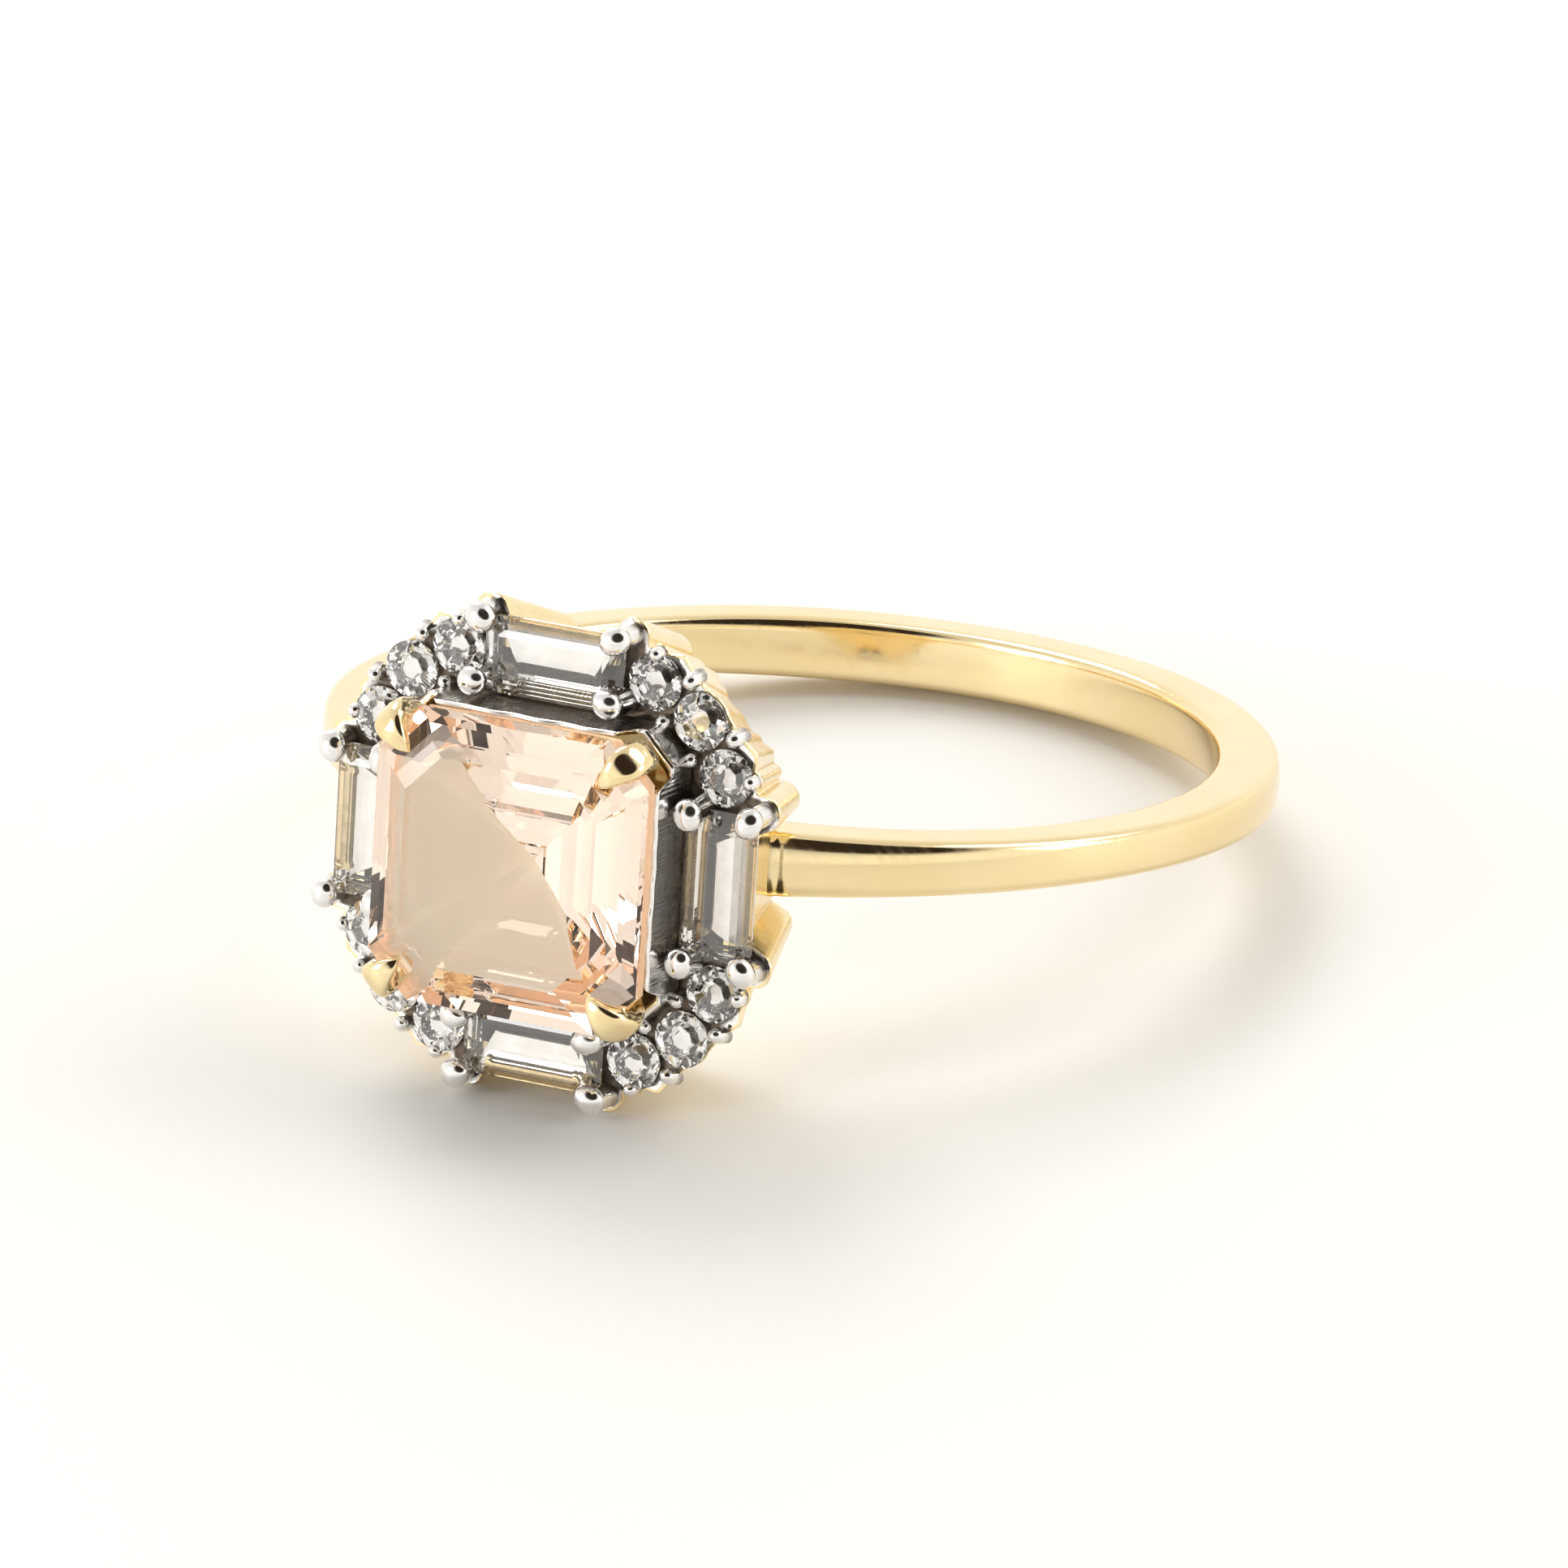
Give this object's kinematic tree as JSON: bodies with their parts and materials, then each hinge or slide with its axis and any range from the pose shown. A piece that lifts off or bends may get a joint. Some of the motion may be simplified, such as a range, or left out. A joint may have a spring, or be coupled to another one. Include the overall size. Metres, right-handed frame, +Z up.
{
  "type": "engagement ring",
  "caption": "Ring with a square step-cut peach stone in gold claws, framed by a halo of baguettes and round stones on a yellow gold shank.",
  "frame": {"origin": "centre of the footprint, on the surface that the ring lies on", "axes": "+Z up from the surface, +Y from the head towards the back of the shank, +X across the ring; the ring lies on its side and tips back until the shank touches the surface"},
  "size_m": [0.0196, 0.0232, 0.0099],
  "materials": {
    "shank_gold": "polished yellow gold",
    "head_gold": "polished yellow gold, as cast in the recesses",
    "white_gold": "polished white gold, rhodium plated",
    "peach_stone": "faceted, peach to pale pink",
    "clear_stone": "faceted, colourless"
  },
  "bodies": {
    "root": {"shank": "shank_gold", "gallery": "head_gold", "halo_plate": "white_gold", "centre_rim": "white_gold", "centre_basket": "head_gold", "centre_stone": "peach_stone", "centre_claw_north_east": "head_gold", "baguette_north": "clear_stone", "round_stone_north_east_first": "clear_stone", "round_stone_north_east_middle": "clear_stone", "round_stone_north_east_last": "clear_stone", "baguette_claw_north_inner_left": "white_gold", "baguette_claw_north_inner_right": "white_gold", "baguette_claw_north_outer_left": "white_gold", "baguette_claw_north_outer_right": "white_gold", "centre_claw_north_west": "head_gold", "baguette_west": "clear_stone", "round_stone_north_west_first": "clear_stone", "round_stone_north_west_middle": "clear_stone", "round_stone_north_west_last": "clear_stone", "baguette_claw_west_inner_left": "white_gold", "baguette_claw_west_inner_right": "white_gold", "baguette_claw_west_outer_left": "white_gold", "baguette_claw_west_outer_right": "white_gold", "centre_claw_south_west": "head_gold", "baguette_south": "clear_stone", "round_stone_south_west_first": "clear_stone", "round_stone_south_west_middle": "clear_stone", "round_stone_south_west_last": "clear_stone", "baguette_claw_south_inner_left": "white_gold", "baguette_claw_south_inner_right": "white_gold", "baguette_claw_south_outer_left": "white_gold", "baguette_claw_south_outer_right": "white_gold", "centre_claw_south_east": "head_gold", "baguette_east": "clear_stone", "round_stone_south_east_first": "clear_stone", "round_stone_south_east_middle": "clear_stone", "round_stone_south_east_last": "clear_stone", "baguette_claw_east_inner_left": "white_gold", "baguette_claw_east_inner_right": "white_gold", "baguette_claw_east_outer_left": "white_gold", "baguette_claw_east_outer_right": "white_gold"}
  },
  "joints": []
}
